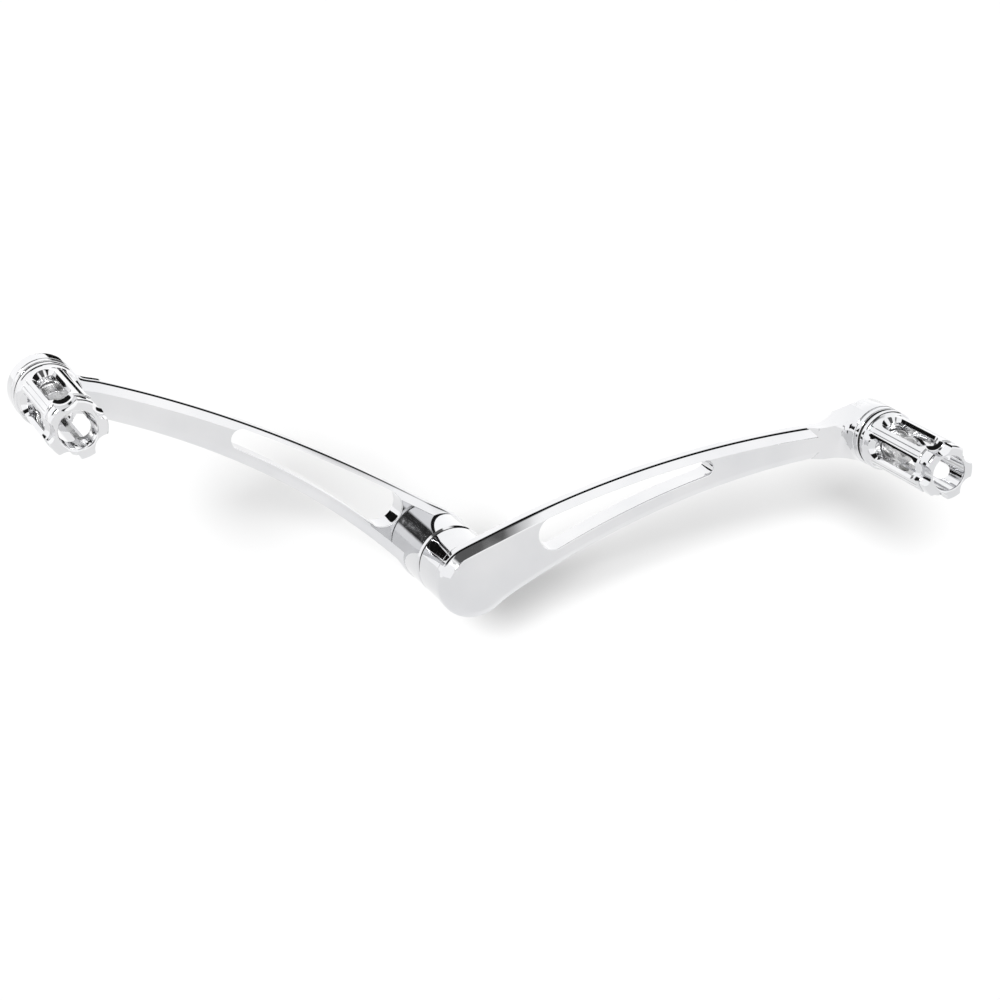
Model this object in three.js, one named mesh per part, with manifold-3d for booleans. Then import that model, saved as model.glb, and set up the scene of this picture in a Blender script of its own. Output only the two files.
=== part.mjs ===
// Heel-and-toe gear shift lever set for a touring motorcycle, left side.
// Millimetres. +Z up, +X to the rear (heel side), -Y outboard (towards the rider's foot).
// The origin is on the shift shaft's axis, at the inboard face of the toe lever's hub.

import * as THREE from 'three';
import { mergeVertices } from 'three/addons/utils/BufferGeometryUtils.js';
import Module from 'manifold-3d';

const wasm = await Module();
wasm.setup();

// ---------------------------------------------------------------- driving dimensions

const runningGap = 0.3;           // clearance left between pieces that touch
const cutOver = 2;                // how far a cutter runs past the surface that it leaves

// Arms: centre distance, lens-shaped sweep and plate section, shared by both levers.
const armLength = 197.6;          // shift shaft axis to peg axis
const plateThickness = 11;
const bevelWidth = 4;             // in the plane of the plate
const bevelDepth = 3;             // across the plate's thickness
const pegEndRadius = 14;

const toeLever = {
  side: -1,                       // reaches forward, towards -X
  lift: 29,                       // degrees above horizontal
  bow: 10.8,                      // rise of the centreline at mid-arm
  drop: 0,                        // fall of the centreline by the peg's end
  hubWidth: 33, pegWidth: 15.6, taper: 3,
  slotStart: 24.5, slotEnd: 114, upperRail: 2.6, lowerRail: 5.8,
};
const heelLever = {
  side: 1,                        // reaches rearward, towards +X
  lift: 13.6,
  bow: 11.6,
  drop: 4.9,
  hubWidth: 33.5, pegWidth: 14.8, taper: 1.5,
  slotStart: 32, slotEnd: 120, upperRail: 4.2, lowerRail: 8.6,
};

// Hubs: two bosses meet end to end on the splined shift shaft.
const hubRadius = 16.5;
const hubEndRadius = hubRadius + 0.5;
const toeHubLength = 16.2;        // outboard of the toe plate
const heelHubLength = 16.6;       // inboard of the heel plate
const hubSpacing = 1.8;           // axial room for the rubber ring between the bosses
const hubChamfer = 0.8;
const splineTeeth = 36;
const splineMajorRadius = 8.3;
const splineMinorRadius = 7.7;
const blindBoreCap = 7;           // metal left outboard of the heel lever's blind bore

// Pinch clamp on each hub, on the hidden lower side.
const clampDirection = -60;       // degrees from +X, seen from outboard
const clampSlit = 2;
const lugReach = 21.5;
const lugWidth = 18;
const lugThickness = 12;
const lugInset = 1.2;             // lug's end face to the hub's end face
const pinchBoltOffset = 14.5;     // pinch bolt axis to shift shaft axis
const pinchThreadRadius = 3;
const pinchHeadRadius = 5;
const pinchHeadHeight = 6;
const pinchSocket = 5;            // across flats
const pinchWasherRadius = 5.8;
const pinchWasherThickness = 1.2;
const pinchGrip = 15;             // shank length under the head

// Peg mounting bosses at the arms' ends: as wide as the ends themselves.
const toeBossProud = 0.3;         // boss face outboard of the plate's face
const heelBossProud = 13.4;
const bossFillet = 10;            // between the heel plate's face and its tall boss
const taperBackRadius = 8;        // of the heel arm's peg end at the plate's back
const taperDepth = 11.4;          // from the plate's back to the boss's full radius
const taperLow = -60;             // degrees from the arm's tip, below it
const taperHigh = 90;             // above it
const taperStep = 15;
const taperReach = 18;            // how far up the arm the taper runs from the peg's axis

// Peg: a windowed barrel bolted through its floor.
const spacerRadius = 13.9;
const spacerThickness = 3.1;
const pegRingThickness = 0.9;     // black rubber ring under the peg's flange
const pegRingRadius = 13.3;
const pegLength = 51.5;
const flangeRadius = 13.9;
const flangeThickness = 3.4;
const barrelRadius = 12.7;
const barrelBore = 7.8;
const floorThickness = 5;
const ribCount = 5;
const windowWidth = 7.4;
const crownLength = 6.3;
const crownStart = pegLength - crownLength;
const crownRadius = 12.4;
const windowStart = 8;
const windowEnd = crownStart - 3.6;
const windowBevel = 1.7;
const scallopRadius = 5.6;
const scallopDepth = 3.4;

// Peg bolt and its washers.
const pegThreadRadius = 4;
const pegHeadRadius = barrelBore - 1.3;
const pegHeadHeight = 8;
const pegSocket = 6;              // across flats
const pegWasherRadius = barrelBore - 0.6;
const flatWasherThickness = 1.4;
const lockWasherRadius = barrelBore - 1.1;
const lockWasherThickness = 1.9;
const insertWall = 0.9;
const insertRadius = pegThreadRadius + runningGap + insertWall;
const insertLength = 9;

const roundSegments = 32;
const smallSegments = 18;

// ---------------------------------------------------------------- finishes

const chrome = () => new THREE.MeshStandardMaterial({ color: 0xe4e6e8, roughness: 0.08, metalness: 1 });
const zincSteel = () => new THREE.MeshStandardMaterial({ color: 0xb9bcbf, roughness: 0.3, metalness: 1 });
const blackRubber = () => new THREE.MeshStandardMaterial({ color: 0x121212, roughness: 0.75, metalness: 0 });

// ---------------------------------------------------------------- solid helpers

/** A closed three.js geometry as a manifold solid, with shared vertices merged. */
function solidOf(geometry) {
  const bare = geometry.clone();
  bare.deleteAttribute('normal');
  bare.deleteAttribute('uv');
  const merged = mergeVertices(bare, 1e-4);
  const index = merged.index.array;
  const triangles = [];
  for (let i = 0; i < index.length; i += 3) {
    const [a, b, c] = [index[i], index[i + 1], index[i + 2]];
    if (a !== b && b !== c && c !== a) triangles.push(a, b, c);
  }
  const mesh = new wasm.Mesh({
    numProp: 3,
    vertProperties: new Float32Array(merged.attributes.position.array),
    triVerts: new Uint32Array(triangles),
  });
  return new wasm.Manifold(mesh);
}

/** A named three.js mesh made from a manifold solid. */
function meshOf(name, solid, material) {
  const { vertProperties, triVerts } = solid.getMesh();
  const geometry = new THREE.BufferGeometry();
  geometry.setAttribute('position', new THREE.BufferAttribute(new Float32Array(vertProperties), 3));
  geometry.setIndex(new THREE.BufferAttribute(new Uint32Array(triVerts), 1));
  geometry.computeVertexNormals();
  const mesh = new THREE.Mesh(geometry, material);
  mesh.name = name;
  return mesh;
}

/** A body of revolution about Y: the profile gives [radius, distance outboard] anticlockwise. */
function turned(profile, segments = roundSegments) {
  const points = profile.map(([radius, outboard]) => new THREE.Vector2(radius, outboard));
  const geometry = new THREE.LatheGeometry([...points, points[0].clone()], segments);
  return solidOf(geometry.rotateX(Math.PI));
}

/** A plain cylinder about Y, from one outboard distance to another. */
function rod(radius, from, to, segments = smallSegments) {
  const geometry = new THREE.CylinderGeometry(radius, radius, to - from, segments);
  return solidOf(geometry.translate(0, -(from + to) / 2, 0));
}

/** A flat ring about Y with softened rims. */
function ring(outer, inner, thickness, segments = smallSegments, soften = 0.25) {
  return turned([
    [inner, 0], [outer - soften, 0], [outer, soften], [outer, thickness - soften],
    [outer - soften, thickness], [inner, thickness],
  ], segments);
}

/** A shape drawn in (x, z), extruded outboard from y = -from to y = -to. */
function extruded(shape, from, to, { curveSegments = 6, ...options } = {}) {
  const apart = (point, i, all) => point.distanceTo(all[(i + 1) % all.length]) > 0.02;
  const outline = new THREE.Shape(shape.getPoints(curveSegments).filter(apart));
  const geometry = new THREE.ExtrudeGeometry(outline, { depth: to - from, bevelEnabled: false, ...options });
  return solidOf(geometry.rotateX(Math.PI / 2).translate(0, -from, 0));
}

/** A regular hexagonal prism about Y. */
function hexagon(acrossFlats, from, to) {
  return rod(acrossFlats / Math.sqrt(3), from, to, 6);
}

/** Turns a solid about Y; positive angles run from +X towards +Z. */
const spin = (solid, degrees) => solid.rotate([0, -degrees, 0]);

const radians = (degrees) => THREE.MathUtils.degToRad(degrees);
const polar = (radius, degrees) => [radius * Math.cos(radians(degrees)), radius * Math.sin(radians(degrees))];

// ---------------------------------------------------------------- arms

/** Height of the arm's centreline over the straight line, at distance u from the hub. */
function centreline(lever, u) {
  const share = u / armLength;
  return lever.bow * (1 - (2 * share - 1) ** 2) - lever.drop * share;
}

/** Width of the arm at distance u: wide at the hub, slim at the peg. */
function armWidth(lever, u) {
  const share = (1 - u / armLength) ** lever.taper;
  return lever.pegWidth + (lever.hubWidth - lever.pegWidth) * share;
}

const upperEdge = (lever, u) => centreline(lever, u) + armWidth(lever, u) / 2;
const lowerEdge = (lever, u) => centreline(lever, u) - armWidth(lever, u) / 2;

/** Adds a curve to the path that leaves point a along directionA and arrives at b along directionB. */
function blendTo(shape, a, directionA, b, directionB) {
  const handle = 0.38 * Math.hypot(b[0] - a[0], b[1] - a[1]);
  shape.bezierCurveTo(
    a[0] + directionA[0] * handle, a[1] + directionA[1] * handle,
    b[0] - directionB[0] * handle, b[1] - directionB[1] * handle, b[0], b[1],
  );
}

/** Direction of an edge curve at u, towards the peg. */
function edgeDirection(edge, lever, u) {
  const step = 0.5;
  const rise = (edge(lever, u + step) - edge(lever, u - step)) / (2 * step);
  const length = Math.hypot(1, rise);
  return [1 / length, rise / length];
}

const edgeSteps = 9;
const hubBlendAt = 16;            // where the arm's edges leave the hub's round end
const pegBlendAt = armLength - 1.5 * pegEndRadius;
const hubTopAngle = 97;
const hubBottomAngle = -82;
const pegTopAngle = 125;
const pegBottomAngle = -118;

/** The plate's outline: round hub end, two curved edges, and a flared round peg end. */
function armOutline(lever) {
  const shape = new THREE.Shape();
  const pegPoint = (degrees) => {
    const [x, z] = polar(pegEndRadius, degrees);
    return [armLength + x, z];
  };
  const alongCircle = (degrees) => [Math.sin(radians(degrees)), -Math.cos(radians(degrees))];
  const backwards = ([x, z]) => [-x, -z];
  const edgePoint = (edge, u) => [u, edge(lever, u)];

  const hubTop = polar(hubEndRadius, hubTopAngle);
  shape.moveTo(...hubTop);
  blendTo(shape, hubTop, alongCircle(hubTopAngle), edgePoint(upperEdge, hubBlendAt),
    edgeDirection(upperEdge, lever, hubBlendAt));
  for (let i = 1; i <= edgeSteps; i += 1) {
    shape.lineTo(...edgePoint(upperEdge, hubBlendAt + ((pegBlendAt - hubBlendAt) * i) / edgeSteps));
  }
  blendTo(shape, edgePoint(upperEdge, pegBlendAt), edgeDirection(upperEdge, lever, pegBlendAt),
    pegPoint(pegTopAngle), alongCircle(pegTopAngle));
  shape.absarc(armLength, 0, pegEndRadius, radians(pegTopAngle), radians(pegBottomAngle), true);
  blendTo(shape, pegPoint(pegBottomAngle), alongCircle(pegBottomAngle),
    edgePoint(lowerEdge, pegBlendAt), backwards(edgeDirection(lowerEdge, lever, pegBlendAt)));
  for (let i = edgeSteps - 1; i >= 0; i -= 1) {
    shape.lineTo(...edgePoint(lowerEdge, hubBlendAt + ((pegBlendAt - hubBlendAt) * i) / edgeSteps));
  }
  const hubBottom = polar(hubEndRadius, hubBottomAngle);
  blendTo(shape, edgePoint(lowerEdge, hubBlendAt), backwards(edgeDirection(lowerEdge, lever, hubBlendAt)),
    hubBottom, alongCircle(hubBottomAngle));
  shape.absarc(0, 0, hubEndRadius, radians(hubBottomAngle), radians(hubTopAngle - 360), true);
  return shape;
}

/** The long tapered slot: it keeps one rail width above it and another below it. */
function slotOutline(lever) {
  const top = (u) => upperEdge(lever, u) - lever.upperRail;
  const bottom = (u) => lowerEdge(lever, u) + lever.lowerRail;
  const halfHeight = (u) => (top(u) - bottom(u)) / 2;
  const first = lever.slotStart + halfHeight(lever.slotStart);
  const last = lever.slotEnd - halfHeight(lever.slotEnd);
  const shape = new THREE.Shape();
  shape.moveTo(first, bottom(first));
  for (let i = 1; i <= edgeSteps; i += 1) {
    const u = first + ((last - first) * i) / edgeSteps;
    shape.lineTo(u, bottom(u));
  }
  shape.absarc(last, (top(last) + bottom(last)) / 2, halfHeight(last), -Math.PI / 2, Math.PI / 2, false);
  for (let i = edgeSteps - 1; i >= 0; i -= 1) {
    const u = first + ((last - first) * i) / edgeSteps;
    shape.lineTo(u, top(u));
  }
  shape.absarc(first, (top(first) + bottom(first)) / 2, halfHeight(first), Math.PI / 2, 1.5 * Math.PI, false);
  return shape;
}

/** The bevelled plate with its slot, in the arm's own frame, from y = 0 outboard. */
function armPlate(lever) {
  const plate = extruded(armOutline(lever), bevelDepth, plateThickness - bevelDepth, {
    bevelEnabled: true,
    bevelThickness: bevelDepth,
    bevelSize: bevelWidth,
    bevelOffset: -bevelWidth,
    bevelSegments: 2,
    curveSegments: 7,
  });
  const slot = extruded(slotOutline(lever), -cutOver, plateThickness + cutOver, { curveSegments: 8 });
  return plate.subtract(slot);
}

/** A plain boss with a chamfered rim, between two outboard stations. */
function boss(radius, from, to, chamfer = hubChamfer) {
  return turned([[0, from], [radius, from], [radius, to - chamfer], [radius - chamfer, to], [0, to]]);
}

/**
 * The concave ramp round a boss's foot, cut to the arm's own outline, in the arm's own frame.
 * Its outer skirt dips below the face, so that the ramp grows out of the plate's bevel.
 */
function footFillet(lever, radius, foot, fillet) {
  const steps = 4;
  const profile = [
    [radius - 1, foot - bevelDepth - 1],
    [radius + fillet + bevelWidth + 0.3, foot - bevelDepth - 0.2],
  ];
  for (let i = 0; i <= steps; i += 1) {
    const angle = (Math.PI / 2) * (i / steps);
    profile.push([radius + fillet * (1 - Math.sin(angle)), foot + fillet * (1 - Math.cos(angle))]);
  }
  profile.push([radius - 1, foot + fillet]);
  const within = extruded(armOutline(lever), foot - plateThickness, foot + 2 * fillet, { curveSegments: 7 });
  return turned(profile).translate([armLength, 0, 0]).intersect(within);
}

/** Wedges that taper the heel arm's peg end towards its back, in the arm's own frame. */
function endTaper(back) {
  const slope = (pegEndRadius - taperBackRadius) / taperDepth;
  const reach = 2 * pegEndRadius;
  const low = back - cutOver;
  const high = back + taperDepth + cutOver;
  const section = new THREE.Shape();
  section.moveTo(taperBackRadius - cutOver * slope, low);
  section.lineTo(reach, low);
  section.lineTo(reach, high);
  section.lineTo(pegEndRadius + cutOver * slope, high);
  const wedge = extruded(section, -reach, reach).rotate([90, 0, 0]);
  let wedges = spin(wedge, taperLow);
  for (let angle = taperLow + taperStep; angle <= taperHigh; angle += taperStep) {
    wedges = wedges.add(spin(wedge, angle));
  }
  const within = boxBetween(-taperReach, 2 * reach, low - cutOver, high + cutOver, -2 * reach, 2 * reach);
  return wedges.intersect(within).translate([armLength, 0, 0]);
}

/** The splined hole for the shift shaft. */
function splineCutter(from, to) {
  const shape = new THREE.Shape();
  const pitch = 360 / splineTeeth;
  for (let tooth = 0; tooth < splineTeeth; tooth += 1) {
    const root = polar(splineMinorRadius, tooth * pitch);
    const tip = polar(splineMajorRadius, (tooth + 0.5) * pitch);
    if (tooth === 0) shape.moveTo(...root);
    else shape.lineTo(...root);
    shape.lineTo(...tip);
  }
  return extruded(shape, from, to);
}

/** The pinch lug with its slit and bolt hole, reaching along +X from the shaft's axis. */
function lugBlock(from, to) {
  const half = lugWidth / 2;
  const corner = 4;
  const shape = new THREE.Shape();
  shape.moveTo(splineMajorRadius + 1, -half);
  shape.lineTo(lugReach - corner, -half);
  shape.absarc(lugReach - corner, -half + corner, corner, -Math.PI / 2, 0, false);
  shape.lineTo(lugReach, half - corner);
  shape.absarc(lugReach - corner, half - corner, corner, 0, Math.PI / 2, false);
  shape.lineTo(splineMajorRadius + 1, half);
  return extruded(shape, from, to);
}

/** A plain box cutter between two corners, in (x, outboard, z). */
function boxBetween(x0, x1, from, to, z0, z1) {
  const geometry = new THREE.BoxGeometry(x1 - x0, to - from, z1 - z0);
  return solidOf(geometry.translate((x0 + x1) / 2, -(from + to) / 2, (z0 + z1) / 2));
}

/** A cylinder that runs along Z, for the pinch bolt's hole. */
function crossRod(radius, x, outboard, z0, z1) {
  const geometry = new THREE.CylinderGeometry(radius, radius, z1 - z0, smallSegments);
  return solidOf(geometry.rotateX(Math.PI / 2).translate(x, -outboard, (z0 + z1) / 2));
}

/** Adds the pinch lug to a hub, then cuts the slit and the bolt's hole, at one outboard station. */
function withPinchClamp(hub, lugCentre, slitFrom, slitTo, localAngle) {
  const lug = lugBlock(lugCentre - lugThickness / 2, lugCentre + lugThickness / 2);
  const slit = boxBetween(0, lugReach + cutOver, slitFrom, slitTo, -clampSlit / 2, clampSlit / 2);
  const threadEnd = -(pinchGrip - lugWidth / 2 - pinchWasherThickness) - 1;
  const hole = crossRod(pinchThreadRadius + runningGap, pinchBoltOffset, lugCentre, threadEnd, lugWidth);
  const spotFace = crossRod(pinchWasherRadius + runningGap, pinchBoltOffset, lugCentre,
    lugWidth / 2, 2 * hubRadius);
  return hub.add(spin(lug, localAngle)).subtract(spin(slit.add(hole).add(spotFace), localAngle));
}

/** The hole for a peg's thread insert, at the arm's end. */
function insertHole(bossFace) {
  const depth = insertLength + 0.6;
  const hole = rod(insertRadius + runningGap, bossFace - depth, bossFace + cutOver);
  return hole.translate([armLength, 0, 0]);
}

const toeHubFace = plateThickness + toeHubLength;
const toeBossFace = plateThickness + toeBossProud;
const heelHubFace = toeHubFace + hubSpacing;
const heelPlateBack = heelHubFace + heelHubLength;
const heelPlateFace = heelPlateBack + plateThickness;
const heelBossFace = heelPlateFace + heelBossProud;

/** Angle of the clamp in an arm's own frame, so that it points the same way on both hubs. */
const clampAngle = (lever) => (lever.side > 0 ? clampDirection - lever.lift : clampDirection + lever.lift);

/** Mirrors a solid to the lever's own side. */
const toSide = (solid, lever) => (lever.side > 0 ? solid : solid.mirror([1, 0, 0]));

const toeLugCentre = toeHubFace - lugThickness / 2 - lugInset;
const heelLugCentre = heelHubFace + lugThickness / 2 + lugInset;

/** Toe arm: plate inboard, hub boss growing outboard, a low boss for the peg. */
function toeArm() {
  const pegBoss = boss(pegEndRadius, plateThickness / 2, toeBossFace);
  const plate = toSide(
    armPlate(toeLever).add(pegBoss.translate([armLength, 0, 0])).subtract(insertHole(toeBossFace)),
    toeLever,
  );
  const hub = boss(hubRadius, plateThickness / 2, toeHubFace);
  const clamped = withPinchClamp(plate.add(hub), toeLugCentre, -cutOver, toeHubFace + cutOver,
    clampAngle(toeLever));
  return clamped.subtract(splineCutter(-cutOver, toeHubFace + cutOver));
}

/** Heel arm: closed plate outboard, hub boss growing inboard, a tall filleted boss for the peg. */
function heelArm() {
  const plate = armPlate(heelLever).translate([0, -heelPlateBack, 0]);
  const pegBoss = boss(pegEndRadius, heelPlateBack + plateThickness / 2, heelBossFace)
    .translate([armLength, 0, 0])
    .add(footFillet(heelLever, pegEndRadius, heelPlateFace, bossFillet));
  const hub = turned([
    [0, heelHubFace], [hubRadius - hubChamfer, heelHubFace], [hubRadius, heelHubFace + hubChamfer],
    [hubRadius, heelPlateBack + plateThickness / 2], [0, heelPlateBack + plateThickness / 2],
  ]);
  const boreEnd = heelPlateFace - blindBoreCap;
  const body = plate.add(hub).add(pegBoss).subtract(endTaper(heelPlateBack));
  const clamped = withPinchClamp(body.subtract(insertHole(heelBossFace)), heelLugCentre,
    heelHubFace - cutOver, heelPlateBack, clampAngle(heelLever));
  return clamped.subtract(splineCutter(heelHubFace - cutOver, boreEnd));
}

// ---------------------------------------------------------------- fasteners and rings

/** Socket-head cap screw about Y: its head sits outboard of y = 0 and its shank runs inboard. */
function capScrew(threadRadius, headRadius, headHeight, socket, shankLength) {
  const chamfer = headRadius * 0.1;
  const tip = threadRadius * 0.2;
  const body = turned([
    [0, -shankLength], [threadRadius - tip, -shankLength], [threadRadius, tip - shankLength],
    [threadRadius, 0], [headRadius, 0], [headRadius, headHeight - chamfer],
    [headRadius - chamfer, headHeight], [0, headHeight],
  ], smallSegments);
  return body.subtract(hexagon(socket, headHeight / 2, headHeight + cutOver));
}

/** Split lock washer: a square-section ring with a narrow radial gap. */
function splitRing(outer, inner, thickness) {
  const gap = boxBetween(0, outer + cutOver, -cutOver, thickness + cutOver, -0.6, 0.6);
  return ring(outer, inner, thickness).subtract(gap);
}

// ---------------------------------------------------------------- peg barrel

/** A stadium outline, long along y, centred on the origin. */
function stadium(width, length) {
  const radius = width / 2;
  const straight = length / 2 - radius;
  const shape = new THREE.Shape();
  shape.absarc(0, straight, radius, 0, Math.PI, false);
  shape.absarc(0, -straight, radius, Math.PI, 2 * Math.PI, false);
  return shape;
}

/** One window through the barrel's wall towards +X, with wide bevelled edges. */
function windowCutter() {
  const middle = (windowStart + windowEnd) / 2;
  const outline = stadium(windowWidth, windowEnd - windowStart);
  const opening = new THREE.ExtrudeGeometry(outline, {
    depth: barrelRadius, bevelEnabled: false, curveSegments: 4,
  });
  const flare = new THREE.ExtrudeGeometry(outline, {
    depth: windowBevel,
    bevelThickness: windowBevel,
    bevelSize: windowBevel,
    bevelSegments: 1,
    curveSegments: 4,
  });
  const flareDepth = barrelRadius - 2.1 + windowBevel;
  const place = (geometry, reach) => solidOf(geometry.translate(0, 0, reach).rotateY(Math.PI / 2)
    .translate(0, -middle, 0));
  return place(opening, barrelBore / 2).add(place(flare, flareDepth));
}

/** The scalloped hollow between two crown lobes, towards +X. */
function crownScallop() {
  const trough = rod(scallopRadius, crownStart, pegLength + cutOver, 12)
    .translate([crownRadius + scallopRadius - scallopDepth, 0, 0]);
  const dish = solidOf(new THREE.SphereGeometry(scallopRadius + 0.6, 12, 8))
    .translate([crownRadius + scallopRadius - scallopDepth + 0.8, -(crownStart + 0.6), 0]);
  return trough.add(dish);
}

/** The peg barrel about Y: flange at y = 0, open crown outboard, ribs pointing along +X first. */
function pegBarrel() {
  const neck = crownStart - 1;
  let barrel = turned([
    [pegThreadRadius + runningGap, 0], [flangeRadius - 0.8, 0], [flangeRadius, 0.8],
    [flangeRadius, flangeThickness - 1], [barrelRadius + 0.5, flangeThickness + 1.2],
    [barrelRadius, flangeThickness + 2.4], [barrelRadius, neck - 0.6], [barrelRadius - 0.5, neck],
    [barrelRadius - 0.5, crownStart + 0.8], [crownRadius, crownStart + 1.4],
    [crownRadius, pegLength - 1], [crownRadius - 1.2, pegLength], [barrelBore + 0.6, pegLength],
    [barrelBore, pegLength - 0.8], [barrelBore, floorThickness], [pegThreadRadius + runningGap, floorThickness],
  ]);
  const pitch = 360 / ribCount;
  for (let rib = 0; rib < ribCount; rib += 1) {
    barrel = barrel.subtract(spin(windowCutter().add(crownScallop()), (rib + 0.5) * pitch));
  }
  return barrel;
}

// ---------------------------------------------------------------- assembly

/** Everything on one peg's axis; the group's origin is on the boss face, outboard along -Y. */
function pegAssembly(prefix) {
  const group = new THREE.Group();
  const place = (mesh, outboard) => {
    mesh.position.y = -outboard;
    group.add(mesh);
    return outboard;
  };
  const holeRadius = pegThreadRadius + runningGap;
  const spacerAt = place(meshOf(`${prefix}_peg_spacer`,
    ring(spacerRadius, holeRadius, spacerThickness, roundSegments, 0.5), chrome()), runningGap);
  const ringAt = spacerAt + spacerThickness + runningGap;
  place(meshOf(`${prefix}_peg_rubber_ring`,
    ring(pegRingRadius, holeRadius + 2, pegRingThickness, roundSegments), blackRubber()), ringAt);
  const barrelAt = ringAt + pegRingThickness + runningGap;
  place(meshOf(`${prefix}_peg_barrel`, pegBarrel(), chrome()), barrelAt);
  const lockAt = barrelAt + floorThickness + runningGap;
  place(meshOf(`${prefix}_peg_lock_washer`,
    splitRing(lockWasherRadius, holeRadius, lockWasherThickness), zincSteel()), lockAt);
  const flatAt = lockAt + lockWasherThickness + runningGap;
  place(meshOf(`${prefix}_peg_flat_washer`,
    ring(pegWasherRadius, holeRadius, flatWasherThickness), zincSteel()), flatAt);
  const headAt = flatAt + flatWasherThickness + runningGap;
  const shank = headAt + insertLength - 1;
  place(meshOf(`${prefix}_peg_bolt`,
    capScrew(pegThreadRadius, pegHeadRadius, pegHeadHeight, pegSocket, shank), zincSteel()), headAt);
  place(meshOf(`${prefix}_thread_insert`,
    ring(insertRadius, holeRadius, insertLength), zincSteel()), -insertLength - 0.3);
  return group;
}

/** Pinch bolt and washer; the group's origin is on the lug's flat, and +Z points out of it. */
function pinchAssembly(prefix) {
  const group = new THREE.Group();
  const washer = meshOf(`${prefix}_pinch_washer`,
    ring(pinchWasherRadius, pinchThreadRadius + runningGap, pinchWasherThickness), zincSteel());
  washer.position.y = -runningGap;
  const bolt = meshOf(`${prefix}_pinch_bolt`,
    capScrew(pinchThreadRadius, pinchHeadRadius, pinchHeadHeight, pinchSocket, pinchGrip), zincSteel());
  bolt.position.y = -(pinchWasherThickness + 2 * runningGap);
  const turn = new THREE.Group();
  turn.rotation.x = -Math.PI / 2;
  turn.add(washer, bolt);
  group.add(turn);
  return group;
}

/** A group that turns with one lever about the shift shaft. */
function leverGroup(lever) {
  const group = new THREE.Group();
  group.rotation.y = radians(-lever.side * lever.lift);
  return group;
}

/** Places a peg's pieces at an arm's end, square to the ground so that a rib points rearward. */
function addPeg(group, lever, prefix, bossFace) {
  const peg = pegAssembly(prefix);
  peg.position.set(lever.side * armLength, -bossFace, 0);
  peg.rotation.y = -group.rotation.y;
  group.add(peg);
}

/** Places the pinch bolt across a hub's lug. */
function addPinchBolt(group, lever, prefix, lugCentre) {
  const clamp = new THREE.Group();
  clamp.rotation.y = radians(-clampAngle(lever));
  const pinch = pinchAssembly(prefix);
  pinch.position.set(pinchBoltOffset, -lugCentre, lugWidth / 2);
  clamp.add(pinch);
  group.add(clamp);
}

const group = new THREE.Group();

const toeGroup = leverGroup(toeLever);
toeGroup.add(meshOf('toe_arm', toeArm(), chrome()));
addPeg(toeGroup, toeLever, 'toe', toeBossFace);
addPinchBolt(toeGroup, toeLever, 'toe', toeLugCentre);
group.add(toeGroup);

const heelGroup = leverGroup(heelLever);
heelGroup.add(meshOf('heel_arm', heelArm(), chrome()));
addPeg(heelGroup, heelLever, 'heel', heelBossFace);
addPinchBolt(heelGroup, heelLever, 'heel', heelLugCentre);
group.add(heelGroup);

const hubRing = meshOf('hub_rubber_ring',
  ring(hubRadius - 0.9, splineMajorRadius + 3, hubSpacing - 2 * runningGap, roundSegments), blackRubber());
hubRing.position.y = -(toeHubFace + runningGap);
group.add(hubRing);

export default group;
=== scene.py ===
"""Looks of the heel-and-toe shift lever.

Smooth chrome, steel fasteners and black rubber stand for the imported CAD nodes.
"""

import math

import bmesh
import bpy
from mathutils import Matrix, Vector


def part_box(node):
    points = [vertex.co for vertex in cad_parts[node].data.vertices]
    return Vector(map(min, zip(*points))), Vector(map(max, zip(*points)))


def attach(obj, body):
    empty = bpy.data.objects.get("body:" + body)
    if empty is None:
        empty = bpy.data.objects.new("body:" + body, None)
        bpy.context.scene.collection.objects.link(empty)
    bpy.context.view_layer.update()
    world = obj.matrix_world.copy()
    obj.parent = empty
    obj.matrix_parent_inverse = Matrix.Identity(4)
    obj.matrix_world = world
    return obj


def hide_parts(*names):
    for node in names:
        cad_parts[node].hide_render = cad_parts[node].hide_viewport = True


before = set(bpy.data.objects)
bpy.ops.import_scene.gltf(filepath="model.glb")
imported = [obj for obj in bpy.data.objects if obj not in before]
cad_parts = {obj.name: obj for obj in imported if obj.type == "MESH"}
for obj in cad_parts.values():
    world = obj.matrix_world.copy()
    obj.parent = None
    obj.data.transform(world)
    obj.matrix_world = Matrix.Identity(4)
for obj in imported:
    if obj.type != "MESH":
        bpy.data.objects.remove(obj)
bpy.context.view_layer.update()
scene = bpy.context.scene
MM = 0.001

# ------------------------------------------------------------------ camera

camera = bpy.data.objects.new("camera", bpy.data.cameras.new("camera"))
camera.data.sensor_width = 36
camera.data.lens = 84.6
camera.data.clip_start = 0.05
camera.data.clip_end = 60
camera.location = (-0.3670, -0.9304, 0.3800)
looks_at = Vector((0.0303, -0.011, 0.0192))
camera.rotation_euler = (looks_at - camera.location).to_track_quat("-Z", "Y").to_euler()
scene.collection.objects.link(camera)
scene.camera = camera
scene.view_settings.view_transform = "Standard"

# ------------------------------------------------------------------ sizes, in millimetres

GAP = 0.3
ARM_LENGTH = 197.6
PLATE = 11
BEVEL_WIDTH = 4
BEVEL_DEPTH = 3
HUB_END_RADIUS = 17
PEG_END_RADIUS = 14
HUB_RADIUS = 16.5

TOE = dict(name="toe", side=-1, lift=29, bow=10.8, drop=0, hub_width=33, peg_width=15.6, taper=3,
           slot=(24.5, 114), upper_rail=2.6, lower_rail=5.8)
HEEL = dict(name="heel", side=1, lift=13.6, bow=11.6, drop=4.9, hub_width=33.5, peg_width=14.8, taper=1.5,
            slot=(32, 120), upper_rail=4.2, lower_rail=8.6)


def outboard(node, end=0):
    """Distance outboard of the origin of a node's inboard (0) or outboard (1) side, in millimetres."""
    low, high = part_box(node)
    return -(high.y if end == 0 else low.y) / MM


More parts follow.
